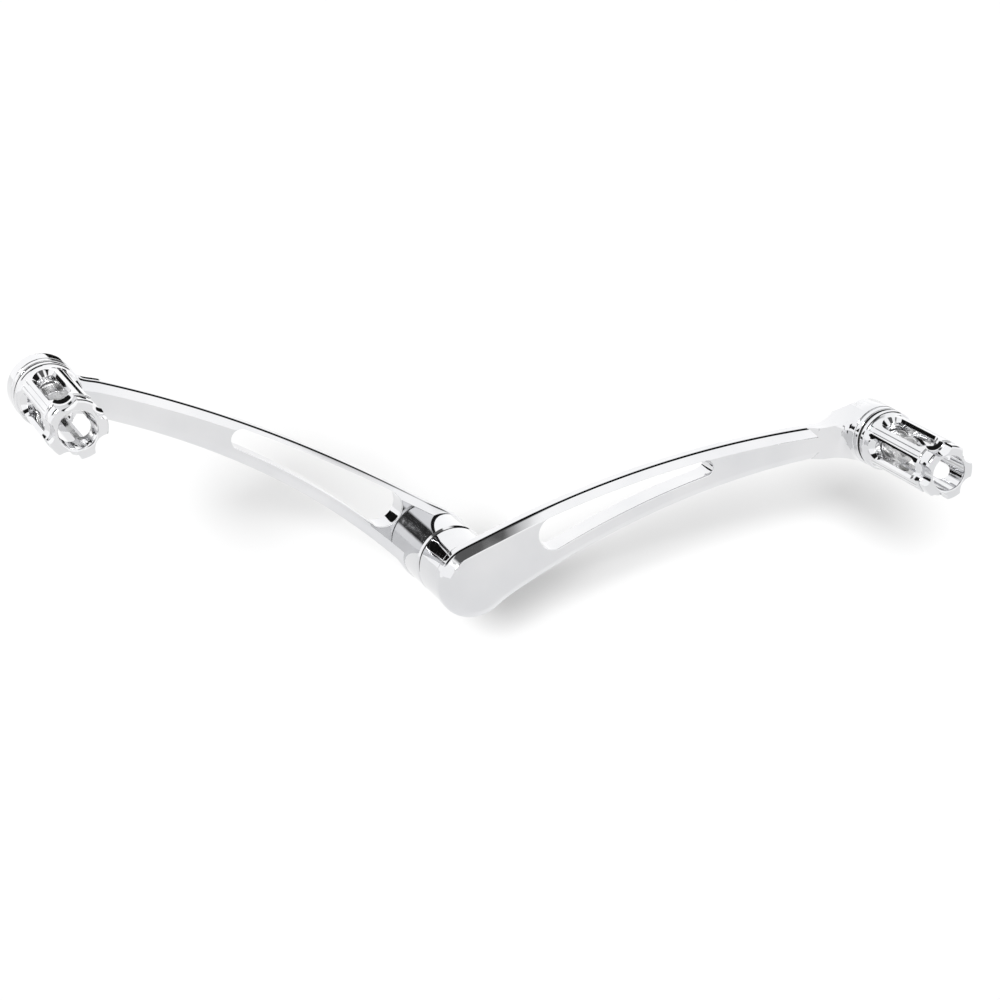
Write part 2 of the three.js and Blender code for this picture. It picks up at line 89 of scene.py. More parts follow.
TOE_HUB_FACE = outboard("toe_arm", 1)
HEEL_HUB_FACE = outboard("heel_arm", 0)
HEEL_BOSS_FACE = outboard("heel_arm", 1)
TOE_BOSS_FACE = outboard("toe_peg_spacer", 0) - GAP
HEEL_BOSS_PROUD = 13.4
BOSS_FILLET = 10
HEEL_PLATE_FACE = HEEL_BOSS_FACE - HEEL_BOSS_PROUD
HEEL_PLATE_BACK = HEEL_PLATE_FACE - PLATE

# ------------------------------------------------------------------ materials


def node_material(name):
    """An empty node material: (material, its tree, its Principled shader)."""
    material = bpy.data.materials.new(name)
    material.use_nodes = True
    tree = material.node_tree
    shader = tree.nodes["Principled BSDF"]
    return material, tree, shader


def noise(tree, scale, detail, stretch=(1, 1, 1), roughness=0.5):
    """Noise in the object's own space, stretched along an axis if asked."""
    place = tree.nodes.new("ShaderNodeTexCoord")
    mapping = tree.nodes.new("ShaderNodeMapping")
    mapping.inputs["Scale"].default_value = stretch
    texture = tree.nodes.new("ShaderNodeTexNoise")
    texture.inputs["Scale"].default_value = scale
    texture.inputs["Detail"].default_value = detail
    texture.inputs["Roughness"].default_value = roughness
    tree.links.new(place.outputs["Object"], mapping.inputs["Vector"])
    tree.links.new(mapping.outputs["Vector"], texture.inputs["Vector"])
    return texture.outputs["Fac"]


def ramp(tree, value, low, high, low_value, high_value):
    """Maps a value from one range to another."""
    node = tree.nodes.new("ShaderNodeMapRange")
    settings = {"From Min": low, "From Max": high, "To Min": low_value, "To Max": high_value}
    for name, setting in settings.items():
        node.inputs[name].default_value = setting
    tree.links.new(value, node.inputs["Value"])
    return node.outputs["Result"]


def tint(tree, value, dark, light):
    """Blends two colours by a value."""
    node = tree.nodes.new("ShaderNodeValToRGB")
    node.color_ramp.elements[0].position = 0.35
    node.color_ramp.elements[1].position = 0.65
    node.color_ramp.elements[0].color = (*dark, 1)
    node.color_ramp.elements[1].color = (*light, 1)
    tree.links.new(value, node.inputs["Fac"])
    return node.outputs["Color"]


def bump(tree, shader, value, strength, distance):
    node = tree.nodes.new("ShaderNodeBump")
    node.inputs["Strength"].default_value = strength
    node.inputs["Distance"].default_value = distance
    tree.links.new(value, node.inputs["Height"])
    tree.links.new(node.outputs["Normal"], shader.inputs["Normal"])


def polished_chrome():
    """Mirror chrome: faint cloudiness, polishing haze and hairlines too fine to dull it."""
    material, tree, shader = node_material("polished_chrome")
    shader.inputs["Metallic"].default_value = 1
    cloud = noise(tree, 28, 3)
    tree.links.new(tint(tree, cloud, (0.67, 0.675, 0.69), (0.73, 0.73, 0.74)), shader.inputs["Base Color"])
    haze = noise(tree, 240, 5, (1, 1, 1), 0.6)
    tree.links.new(ramp(tree, haze, 0.35, 0.75, 0.025, 0.075), shader.inputs["Roughness"])
    ripple = noise(tree, 55, 2)
    bump(tree, shader, ripple, 0.05, 0.0006)
    return material


def fastener_steel():
    """Zinc-plated steel with fine turning marks and duller patches."""
    material, tree, shader = node_material("fastener_steel")
    shader.inputs["Metallic"].default_value = 1
    patches = noise(tree, 130, 4)
    tree.links.new(tint(tree, patches, (0.52, 0.52, 0.53), (0.72, 0.72, 0.71)), shader.inputs["Base Color"])
    marks = noise(tree, 900, 4, (1, 6, 1))
    tree.links.new(ramp(tree, marks, 0.3, 0.7, 0.2, 0.38), shader.inputs["Roughness"])
    bump(tree, shader, marks, 0.12, 0.0001)
    return material


def black_rubber():
    """Black moulded rubber with a dusty bloom."""
    material, tree, shader = node_material("black_rubber")
    bloom = noise(tree, 160, 5)
    colour = tint(tree, bloom, (0.008, 0.008, 0.008), (0.022, 0.021, 0.02))
    tree.links.new(colour, shader.inputs["Base Color"])
    tree.links.new(ramp(tree, bloom, 0.3, 0.7, 0.5, 0.8), shader.inputs["Roughness"])
    grain = noise(tree, 1500, 3)
    bump(tree, shader, grain, 0.2, 0.00008)
    return material


CHROME = polished_chrome()
STEEL = fastener_steel()
RUBBER = black_rubber()

# ------------------------------------------------------------------ mesh helpers, in millimetres


def radians(degrees):
    return math.radians(degrees)


def polar(radius, degrees):
    return radius * math.cos(radians(degrees)), radius * math.sin(radians(degrees))


def mesh_object(name, vertices, faces):
    """A mesh object with its faces turned outwards."""
    mesh = bpy.data.meshes.new(name)
    mesh.from_pydata([Vector(v) for v in vertices], [], faces)
    work = bmesh.new()
    work.from_mesh(mesh)
    bmesh.ops.remove_doubles(work, verts=work.verts, dist=1e-5)
    bmesh.ops.recalc_face_normals(work, faces=work.faces)
    work.to_mesh(mesh)
    work.free()
    obj = bpy.data.objects.new(name, mesh)
    scene.collection.objects.link(obj)
    return obj


def ring_faces(rings, count):
    """Quads between rings of vertices that close on themselves."""
    faces = []
    for level in range(rings - 1):
        low, high = level * count, (level + 1) * count
        for i in range(count):
            j = (i + 1) % count
            faces.append((low + i, low + j, high + j, high + i))
    return faces


def turned(name, profile, segments=128):
    """A body of revolution about Y; the closed profile gives (radius, distance outboard)."""
    vertices = []
    for radius, along in profile:
        for i in range(segments):
            x, z = polar(radius, 360 * i / segments)
            vertices.append((x, -along, z))
    count = len(profile)
    faces = []
    for level in range(count):
        following = (level + 1) % count
        if profile[level][0] == 0 and profile[following][0] == 0:
            continue
        for i in range(segments):
            j = (i + 1) % segments
            faces.append((level * segments + i, level * segments + j,
                          following * segments + j, following * segments + i))
    return mesh_object(name, vertices, faces)


INWARD = -1  # outlines run clockwise, seen from outboard


def swept_plate(name, outline, profile):
    """A plate about Y: each (inset, distance outboard) of the profile is one ring round the outline."""
    count = len(outline)
    normals = []
    for i in range(count):
        ax, az = outline[i - 1]
        bx, bz = outline[(i + 1) % count]
        length = math.hypot(bx - ax, bz - az)
        normals.append(((bz - az) / length, -(bx - ax) / length))
    vertices = []
    for inset, along in profile:
        for (x, z), (nx, nz) in zip(outline, normals):
            vertices.append((x - INWARD * nx * inset, -along, z - INWARD * nz * inset))
    faces = ring_faces(len(profile), count)
    faces.append(tuple(range(count)))
    faces.append(tuple(range((len(profile) - 1) * count, len(profile) * count)))
    return mesh_object(name, vertices, faces)


def boolean(target, cutter, operation):
    """Joins or cuts target with cutter, and removes the cutter."""
    step = target.modifiers.new(operation, "BOOLEAN")
    step.operation = operation
    step.object = cutter
    step.solver = "MANIFOLD"
    bpy.context.view_layer.update()
    graph = bpy.context.evaluated_depsgraph_get()
    mesh = bpy.data.meshes.new_from_object(target.evaluated_get(graph))
    target.modifiers.clear()
    target.data = mesh
    bpy.data.objects.remove(cutter)
    return target


def move(obj, matrix):
    obj.data.transform(matrix)
    return obj


def spin(obj, degrees):
    """Turns a mesh about Y; positive angles run from +X towards +Z."""
    return move(obj, Matrix.Rotation(-radians(degrees), 4, "Y"))


def shift(obj, x=0, along=0, z=0):
    return move(obj, Matrix.Translation((x, -along, z)))


def soft_edges(obj, width, angle=30, segments=2):
    """Rounds the sharp edges a little, as polishing does."""
    step = obj.modifiers.new("edges", "BEVEL")
    step.width = width * MM
    step.segments = segments
    step.limit_method = "ANGLE"
    step.angle_limit = radians(angle)
    step.use_clamp_overlap = True
    step.miter_outer = "MITER_ARC"


def finish_piece(obj, node, body, material, edge=0, smooth=32):
    """Scales a piece to metres, shades it, and puts it in the CAD node's place on its body."""
    obj.data.transform(Matrix.Scale(MM, 4))
    obj.name = obj.data.name = f"{node}_skin"
    obj.data.materials.clear()
    obj.data.materials.append(material)
    if edge:
        soft_edges(obj, edge)
    for polygon in obj.data.polygons:
        polygon.use_smooth = True
    obj.data.set_sharp_from_angle(angle=radians(smooth))
    normals = obj.modifiers.new("normals", "WEIGHTED_NORMAL")
    normals.keep_sharp = True
    normals.weight = 100
    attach(obj, body)
    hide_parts(node)
    return obj


def arc(centre, radius, start, end, steps):
    """Points of an arc, for profiles of (radius, along) or (inset, along)."""
    points = []
    for i in range(steps + 1):
        x, y = polar(radius, start + (end - start) * i / steps)
        points.append((centre[0] + x, centre[1] + y))
    return points


# ------------------------------------------------------------------ arm outlines


def centreline(lever, u):
    share = u / ARM_LENGTH
    return lever["bow"] * (1 - (2 * share - 1) ** 2) - lever["drop"] * share


def arm_width(lever, u):
    share = (1 - u / ARM_LENGTH) ** lever["taper"]
    return lever["peg_width"] + (lever["hub_width"] - lever["peg_width"]) * share


def upper_edge(lever, u):
    return centreline(lever, u) + arm_width(lever, u) / 2


def lower_edge(lever, u):
    return centreline(lever, u) - arm_width(lever, u) / 2


def direction(edge, lever, u):
    rise = edge(lever, u + 0.5) - edge(lever, u - 0.5)
    length = math.hypot(1, rise)
    return 1 / length, rise / length


def blend(a, leaving, b, arriving, steps=18):
    """Points of a smooth curve that leaves a and arrives at b, without a itself."""
    handle = 0.38 * math.dist(a, b)
    p = (a, (a[0] + leaving[0] * handle, a[1] + leaving[1] * handle),
         (b[0] - arriving[0] * handle, b[1] - arriving[1] * handle), b)
    points = []
    for i in range(1, steps + 1):
        t = i / steps
        weights = ((1 - t) ** 3, 3 * t * (1 - t) ** 2, 3 * t * t * (1 - t), t ** 3)
        points.append(tuple(sum(w * q[k] for w, q in zip(weights, p)) for k in (0, 1)))
    return points


HUB_BLEND_AT = 16
PEG_BLEND_AT = ARM_LENGTH - 1.5 * PEG_END_RADIUS
HUB_TOP, HUB_BOTTOM = 97, -82
PEG_TOP, PEG_BOTTOM = 125, -118
EDGE_STEPS = 90
ARC_STEP = 3


def arm_outline(lever):
    """The plate's outline, clockwise: hub top, upper edge, peg end, lower edge, hub end."""
    def along(degrees):
        return math.sin(radians(degrees)), -math.cos(radians(degrees))

    def peg_point(degrees):
        x, z = polar(PEG_END_RADIUS, degrees)
        return ARM_LENGTH + x, z

    span = PEG_BLEND_AT - HUB_BLEND_AT
    stations = [HUB_BLEND_AT + span * i / EDGE_STEPS for i in range(EDGE_STEPS + 1)]
    upper = [(u, upper_edge(lever, u)) for u in stations]
    lower = [(u, lower_edge(lever, u)) for u in reversed(stations)]
    back = [tuple(-q for q in direction(lower_edge, lever, u)) for u in (PEG_BLEND_AT, HUB_BLEND_AT)]
    points = [polar(HUB_END_RADIUS, HUB_TOP)]
    points += blend(points[0], along(HUB_TOP), upper[0], direction(upper_edge, lever, HUB_BLEND_AT))
    points += upper[1:]
    leaving = direction(upper_edge, lever, PEG_BLEND_AT)
    points += blend(upper[-1], leaving, peg_point(PEG_TOP), along(PEG_TOP))
    steps = round((PEG_TOP - PEG_BOTTOM) / ARC_STEP)
    points += [peg_point(PEG_TOP + (PEG_BOTTOM - PEG_TOP) * i / steps) for i in range(1, steps + 1)]
    points += blend(points[-1], along(PEG_BOTTOM), lower[0], back[0])
    points += lower[1:]
    points += blend(lower[-1], back[1], polar(HUB_END_RADIUS, HUB_BOTTOM), along(HUB_BOTTOM))
    turn = HUB_TOP - 360 - HUB_BOTTOM
    steps = round(-turn / ARC_STEP)
    points += [polar(HUB_END_RADIUS, HUB_BOTTOM + turn * i / steps) for i in range(1, steps)]
    return points


def slot_outline(lever):
    """The long tapered slot, clockwise like the arm's outline."""
    def top(u):
        return upper_edge(lever, u) - lever["upper_rail"]

    def bottom(u):
        return lower_edge(lever, u) + lever["lower_rail"]

    def half(u):
        return (top(u) - bottom(u)) / 2

    start, end = lever["slot"]
    first, last = start + half(start), end - half(end)
    stations = [first + (last - first) * i / EDGE_STEPS for i in range(EDGE_STEPS + 1)]
    points = [(u, top(u)) for u in stations]
    middle = (top(last) + bottom(last)) / 2
    points += [(last + half(last) * math.cos(radians(a)), middle + half(last) * math.sin(radians(a)))
               for a in range(84, -90, -6)]
    points += [(u, bottom(u)) for u in reversed(stations)]
    middle = (top(first) + bottom(first)) / 2
    points += [(first + half(first) * math.cos(radians(a)), middle + half(first) * math.sin(radians(a)))
               for a in range(-96, -270, -6)]
    return points


# ------------------------------------------------------------------ arms

EDGE_ROUND = 2.4   # between the arm's side and its bevel
SLOT_RIM = 0.7     # width of the slot's own small bevel
CUT_OVER = 2       # how far a cutter runs past the surface that it leaves


def plate_profile(back, face):
    """(inset, outboard) stations from the back face's rim round the side to the front face's rim."""
    slope = math.degrees(math.atan2(BEVEL_DEPTH, BEVEL_WIDTH))
    half_turn = (90 - slope) / 2
    reach = EDGE_ROUND * math.tan(radians(half_turn))
    outer = arc((EDGE_ROUND, face - BEVEL_DEPTH - reach), EDGE_ROUND, 180, 90 + slope, 7)
    crisp = [(BEVEL_WIDTH - 0.3, face - 0.225), (BEVEL_WIDTH - 0.08, face - 0.085),
             (BEVEL_WIDTH + 0.12, face - 0.015), (BEVEL_WIDTH + 0.35, face)]
    front = outer + crisp
    mirrored = [(inset, back + face - along) for inset, along in reversed(front)]
    return mirrored + front


def arm_plate(lever, back):
    """Bevelled plate with its slot, in the arm's own frame."""
    face = back + PLATE
    plate = swept_plate("plate", arm_outline(lever), plate_profile(back, face))
    rim = SLOT_RIM
    profile = [(-CUT_OVER, back - CUT_OVER), (-rim, back), (-rim * 0.3, back + rim * 0.3), (0, back + rim),
               (0, face - rim), (-rim * 0.3, face - rim * 0.3), (-rim, face), (-CUT_OVER, face + CUT_OVER)]
    slot = swept_plate("slot", slot_outline(lever), profile)
    return boolean(plate, slot, "DIFFERENCE")


def hub_boss(low, high, chamfer_low, chamfer_high):
    profile = [(0, low), (HUB_RADIUS - chamfer_low, low), (HUB_RADIUS, low + chamfer_low),
               (HUB_RADIUS, high - chamfer_high), (HUB_RADIUS - chamfer_high, high), (0, high)]
    return turned("boss", profile, 180)


SPLINE_TEETH = 36
SPLINE_MINOR = 7.7
SPLINE_MAJOR = 8.3


def spline_cutter(low, high):
    pitch = 360 / SPLINE_TEETH
    corners = ((SPLINE_MINOR, -0.2), (SPLINE_MINOR, 0.2), (SPLINE_MAJOR, 0.32), (SPLINE_MAJOR, 0.68))
    outline = []
    for tooth in range(SPLINE_TEETH):
        for radius, at in corners:
            outline.append(polar(radius, -(tooth + at) * pitch))
    return swept_plate("spline", outline, [(0, low), (0, high)])


BOX_FACES = [(0, 1, 2, 3), (4, 5, 6, 7)] + [(i, (i + 1) % 4, 4 + (i + 1) % 4, 4 + i) for i in range(4)]


def box_cutter(x0, x1, low, high, z0, z1):
    corners = [(x0, z0), (x0, z1), (x1, z1), (x1, z0)]
    vertices = [(x, -along, z) for along in (low, high) for x, z in corners]
    return mesh_object("box", vertices, BOX_FACES)


def cross_rod(radius, x, along, z0, z1):
    """A cylinder along Z."""
    rod = turned("rod", [(0, z0), (radius, z0), (radius, z1), (0, z1)], 64)
    move(rod, Matrix.Rotation(radians(90), 4, "X") @ Matrix.Scale(-1, 4, (0, 1, 0)))
    low = min(v.co.z for v in rod.data.vertices)
    return move(rod, Matrix.Translation((x, -along, z0 - low)))


CLAMP_DIRECTION = -60
LUG_THICKNESS = 12
LUG_REACH = 21.5
LUG_HALF = 9
LUG_INSET = 1.2
LUG_ROOT = 9.3              # where the lug starts, inside the hub
LUG_CORNER = 4
PINCH_OFFSET = 14.5
PINCH_THREAD_RADIUS = 3
PINCH_HOLE_RADIUS = PINCH_THREAD_RADIUS + GAP
PINCH_HOLE_END = -5.8       # past the pinch bolt's tip
PINCH_HEAD_RADIUS = 5
PINCH_HEAD_HEIGHT = 6
PINCH_SOCKET = 5
PINCH_GRIP = 15
PINCH_WASHER_RADIUS = 5.8
PINCH_WASHER_THICKNESS = 1.2
SPOT_FACE_RADIUS = PINCH_WASHER_RADIUS + GAP
SPOT_FACE_TOP = 33          # clear of the pinch bolt's head


def lug(middle):
    corner_x, corner_z = LUG_REACH - LUG_CORNER, LUG_HALF - LUG_CORNER
    outline = [(LUG_ROOT, LUG_HALF)]
    outline += arc((corner_x, corner_z), LUG_CORNER, 90, 0, 15)
    outline += arc((corner_x, -corner_z), LUG_CORNER, 0, -90, 15)
    outline += [(LUG_ROOT, -LUG_HALF)]
    low, high = middle - LUG_THICKNESS / 2, middle + LUG_THICKNESS / 2
    return swept_plate("lug", outline, [(0.4, low), (0.1, low + 0.1), (0, low + 0.4),
                                        (0, high - 0.4), (0.1, high - 0.1), (0.4, high)])


def clamp_on(arm, middle, slit, angle):
    """Adds the pinch lug, then cuts its slit, bolt hole and spot face."""
    gap = box_cutter(0, LUG_REACH + CUT_OVER, slit[0], slit[1], -1, 1)
    hole = cross_rod(PINCH_HOLE_RADIUS, PINCH_OFFSET, middle, PINCH_HOLE_END, LUG_HALF + 1)
    spot_face = cross_rod(SPOT_FACE_RADIUS, PINCH_OFFSET, middle, LUG_HALF, SPOT_FACE_TOP)
    boolean(arm, spin(lug(middle), angle), "UNION")
    for cutter in (gap, hole, spot_face):
        boolean(arm, spin(cutter, angle), "DIFFERENCE")


def peg_boss(low, high):
    round_rim = 0.5
    profile = [(0, low), (PEG_END_RADIUS, low), (PEG_END_RADIUS, high - round_rim)]
    profile += arc((PEG_END_RADIUS - round_rim, high - round_rim), round_rim, 18, 90, 4)
    return shift(turned("peg_boss", profile + [(0, high)], 180), ARM_LENGTH)


INSERT_RADIUS = 5.2
INSERT_LENGTH = 9


def insert_hole(face):
    low, high = face - INSERT_LENGTH - 2 * GAP, face + CUT_OVER
    radius = INSERT_RADIUS + GAP
    hole = turned("hole", [(0, low), (radius, low), (radius, high), (0, high)], 64)
    return shift(hole, ARM_LENGTH)


def foot_fillet(lever, foot, radius):
    """The concave ramp round the tall peg boss, kept within the arm's outline."""
    profile = [(PEG_END_RADIUS - 1, foot - BEVEL_DEPTH - 1),
               (PEG_END_RADIUS + radius + BEVEL_WIDTH + GAP, foot - BEVEL_DEPTH - 0.2)]
    profile += arc((PEG_END_RADIUS + radius, foot + radius), radius, 270, 180, 24)
    profile += [(PEG_END_RADIUS - 1, foot + radius)]
    fillet = shift(turned("fillet", profile, 180), ARM_LENGTH)
    levels = [(0.02, foot - PLATE), (0.02, foot + 2 * radius)]
    within = swept_plate("within", arm_outline(lever), levels)
    return boolean(fillet, within, "INTERSECT")


TAPER_BACK_RADIUS = 8
TAPER_DEPTH = 11.4
TAPER_LOW, TAPER_HIGH = -60, 90
TAPER_STEP = 5
TAPER_REACH = 18


def end_taper(back):
    """Wedges that taper the heel arm's peg end towards its back, as one cutter."""
    over = CUT_OVER
    slope = (PEG_END_RADIUS - TAPER_BACK_RADIUS) / TAPER_DEPTH
    reach = 2 * PEG_END_RADIUS
    low, high = back - over, back + TAPER_DEPTH + over
    section = [(TAPER_BACK_RADIUS - over * slope, low), (reach, low),
               (reach, high), (PEG_END_RADIUS + over * slope, high)]
    wedges = None
    for angle in range(TAPER_LOW, TAPER_HIGH + 1, TAPER_STEP):
        vertices = [(x, -along, z) for z in (-reach, reach) for x, along in section]
        wedge = spin(mesh_object("wedge", vertices, BOX_FACES), angle)
        wedges = boolean(wedges, wedge, "UNION") if wedges else wedge
    inner, outer = back - 2 * over, back + PLATE + BOSS_FILLET
    within = box_cutter(-TAPER_REACH, 2 * reach, inner, outer, -2 * reach, 2 * reach)
    return shift(boolean(wedges, within, "INTERSECT"), ARM_LENGTH)


def mirrored(obj):
    move(obj, Matrix.Scale(-1, 4, (1, 0, 0)))
    obj.data.flip_normals()
    return obj


HUB_CHAMFER = 0.8
BURIED_END = 0.02     # chamfer of the boss's end that lies inside the plate
BLIND_BORE_CAP = 7    # metal left outboard of the heel lever's bore


def toe_arm():
    arm = arm_plate(TOE, 0)
    boolean(arm, peg_boss(PLATE / 2, TOE_BOSS_FACE), "UNION")
    boolean(arm, insert_hole(TOE_BOSS_FACE), "DIFFERENCE")
    mirrored(arm)
    boolean(arm, hub_boss(PLATE / 2, TOE_HUB_FACE, BURIED_END, HUB_CHAMFER), "UNION")
    middle = TOE_HUB_FACE - LUG_THICKNESS / 2 - LUG_INSET
    clamp_on(arm, middle, (-CUT_OVER, TOE_HUB_FACE + CUT_OVER), CLAMP_DIRECTION + TOE["lift"])
    boolean(arm, spline_cutter(-CUT_OVER, TOE_HUB_FACE + CUT_OVER), "DIFFERENCE")
    spin(arm, -TOE["lift"])
    return finish_piece(arm, "toe_arm", "toe_lever", CHROME)


def heel_arm():
    arm = arm_plate(HEEL, HEEL_PLATE_BACK)
    boolean(arm, foot_fillet(HEEL, HEEL_PLATE_FACE, BOSS_FILLET), "UNION")
    boolean(arm, peg_boss(HEEL_PLATE_BACK + PLATE / 2, HEEL_BOSS_FACE), "UNION")
    boolean(arm, end_taper(HEEL_PLATE_BACK), "DIFFERENCE")
    boolean(arm, insert_hole(HEEL_BOSS_FACE), "DIFFERENCE")
    boss = hub_boss(HEEL_HUB_FACE, HEEL_PLATE_BACK + PLATE / 2, HUB_CHAMFER, BURIED_END)
    boolean(arm, boss, "UNION")
    middle = HEEL_HUB_FACE + LUG_THICKNESS / 2 + LUG_INSET
    clamp_on(arm, middle, (HEEL_HUB_FACE - CUT_OVER, HEEL_PLATE_BACK), CLAMP_DIRECTION - HEEL["lift"])
    bore = spline_cutter(HEEL_HUB_FACE - CUT_OVER, HEEL_PLATE_FACE - BLIND_BORE_CAP)
    boolean(arm, bore, "DIFFERENCE")
    spin(arm, HEEL["lift"])
    return finish_piece(arm, "heel_arm", "heel_lever", CHROME)


toe_arm()
heel_arm()

# ------------------------------------------------------------------ pegs

PEG_LENGTH = 51.5
FLANGE_RADIUS = 13.9
BARREL_RADIUS = 12.7
BORE = 7.8
FLOOR = 5
RIBS = 5
SPACER_THICKNESS = 3.1
PEG_RING_RADIUS = 13.3
PEG_RING_THICKNESS = 0.9
LOCK_WASHER_RADIUS = 6.7
LOCK_WASHER_THICKNESS = 1.9
FLAT_WASHER_RADIUS = 7.2
FLAT_WASHER_THICKNESS = 1.4
PEG_THREAD_RADIUS = 4
PEG_HEAD_RADIUS = 6.5
PEG_HEAD_HEIGHT = 8
PEG_SOCKET = 6
CROWN_LENGTH = 6.3
CROWN_START = PEG_LENGTH - CROWN_LENGTH
CROWN_RADIUS = 12.4
WINDOW_WIDTH = 7.4
WINDOW = (8, CROWN_START - 3.6)
SCALLOP_RADIUS = 5.6
SCALLOP_DEPTH = 3.4
SCALLOP_AT = CROWN_RADIUS + SCALLOP_RADIUS - SCALLOP_DEPTH
BOLT_HOLE = 4.3


def stadium_rings(name, levels, middle, length):
    """A long rounded cutter towards +X: each level is (distance from the axis, width)."""
    steps = 16
    vertices = []
    for reach, width in levels:
        radius = width / 2
        straight = (length + width - WINDOW_WIDTH) / 2 - radius
        for sign, first in ((1, 0), (-1, 180)):
            for i in range(steps + 1):
                dz, dy = polar(radius, first + 180 * i / steps)
                vertices.append((reach, -middle + sign * straight + dy, dz))
    count = 2 * (steps + 1)
    faces = ring_faces(len(levels), count)
    faces += [tuple(range(count)), tuple(range((len(levels) - 1) * count, len(levels) * count))]
    return mesh_object(name, vertices, faces)


def window_cutter():
    """Through window with broad bevels that reach the rib's edges."""
    low = BORE / 2
    levels = [(low, WINDOW_WIDTH), (10.1, WINDOW_WIDTH), (10.35, WINDOW_WIDTH + 0.15),
              (12.2, WINDOW_WIDTH + 3.2), (14.2, WINDOW_WIDTH + 7)]
    return stadium_rings("window", levels, sum(WINDOW) / 2, WINDOW[1] - WINDOW[0])


def ellipsoid(centre, radii, segments=40):
    """A closed ellipsoid, with its poles on the Z axis."""
    rows = segments // 2
    vertices = [(centre[0], centre[1], centre[2] + radii[2])]
    for row in range(1, rows):
        tilt = 180 * row / rows
        for i in range(segments):
            x, y = polar(math.sin(radians(tilt)), 360 * i / segments)
            vertices.append((centre[0] + radii[0] * x, centre[1] + radii[1] * y,
                             centre[2] + radii[2] * math.cos(radians(tilt))))
    last = len(vertices)
    vertices.append((centre[0], centre[1], centre[2] - radii[2]))
    faces = []
    for i in range(segments):
        j = (i + 1) % segments
        faces.append((0, 1 + i, 1 + j))
        for row in range(rows - 2):
            a = 1 + row * segments
            faces.append((a + i, a + segments + i, a + segments + j, a + j))
        a = 1 + (rows - 2) * segments
        faces.append((a + i, last, a + j))
    return mesh_object("ellipsoid", vertices, faces)


def rib_groove(offset):
    """A fine V groove along a rib, with pointed ends."""
    z = offset
    depth = 0.42
    surface = math.sqrt(BARREL_RADIUS ** 2 - z * z)
    low, high = 7, CROWN_START - 3
    vertices = []
    for along, share in ((low - 2, 0.02), (low, 1), (high, 1), (high + 2, 0.02)):
        half = 0.42
        vertices += [(surface + 0.6, -along, z - half * 1.8), (surface + 0.6, -along, z + half * 1.8),
                     (surface + 0.1 - depth * share, -along, z)]
    faces = ring_faces(4, 3) + [(0, 1, 2), (9, 10, 11)]
    return mesh_object("groove", vertices, faces)


def peg_barrel():
    """Flanged barrel with windows between its ribs, and a scalloped crown."""
    rim = 0.9
    profile = [(BOLT_HOLE, 0)]
    profile += arc((FLANGE_RADIUS - rim, rim), rim, 270, 360, 6)
    profile += arc((FLANGE_RADIUS - 1.2, 2.4), 1.2, 0, 58, 6)
    profile += [(BARREL_RADIUS, 5.7), (BARREL_RADIUS, CROWN_START - 1.6)]
    profile += arc((BARREL_RADIUS - 0.5, CROWN_START - 1.5), 0.5, 0, 80, 4)
    profile += [(BARREL_RADIUS - 0.6, CROWN_START - 0.6), (BARREL_RADIUS - 0.6, CROWN_START + 0.5)]
    profile += [(CROWN_RADIUS, CROWN_START + 1.3), (CROWN_RADIUS, PEG_LENGTH - 1.4)]
    profile += arc((CROWN_RADIUS - 1.4, PEG_LENGTH - 1.4), 1.4, 10, 90, 6)
    profile += [(BORE + 0.9, PEG_LENGTH), (BORE + 0.3, PEG_LENGTH - 0.3), (BORE, PEG_LENGTH - 1)]
    profile += [(BORE, FLOOR), (BOLT_HOLE, FLOOR)]
    barrel = turned("barrel", profile, 180)
    pitch = 360 / RIBS
    for rib in range(RIBS):
        boolean(barrel, spin(window_cutter(), (rib + 0.5) * pitch), "DIFFERENCE")
        dish = ellipsoid((SCALLOP_AT + 0.8, -(CROWN_START + 0.6), 0), (5.9, 5.2, 5.9))
        boolean(barrel, spin(dish, (rib + 0.5) * pitch), "DIFFERENCE")
        top = PEG_LENGTH + CUT_OVER
        section = [(0, CROWN_START), (SCALLOP_RADIUS, CROWN_START), (SCALLOP_RADIUS, top), (0, top)]
        trough = shift(turned("trough", section, 64), SCALLOP_AT)
        boolean(barrel, spin(trough, (rib + 0.5) * pitch), "DIFFERENCE")
        for offset in (-1.1, 1.1):
            boolean(barrel, spin(rib_groove(offset), rib * pitch), "DIFFERENCE")
    return barrel


def ring(outer, inner, thickness, soften=0.3):
    """A flat ring with rounded rims."""
    steps = 4
    profile = arc((outer - soften, soften), soften, 270, 360, steps)
    profile += arc((outer - soften, thickness - soften), soften, 0, 90, steps)
    profile += [(inner + 0.15, thickness), (inner, thickness - 0.15), (inner, 0.15), (inner + 0.15, 0)]
    return turned("ring", profile, 128)


def rubber_ring(outer, inner, thickness):
    """A ring with a half-round outer edge."""
    radius = thickness / 2
    profile = arc((outer - radius, radius), radius, 270, 450, 10) + [(inner, thickness), (inner, 0)]
    return turned("rubber", profile, 128)


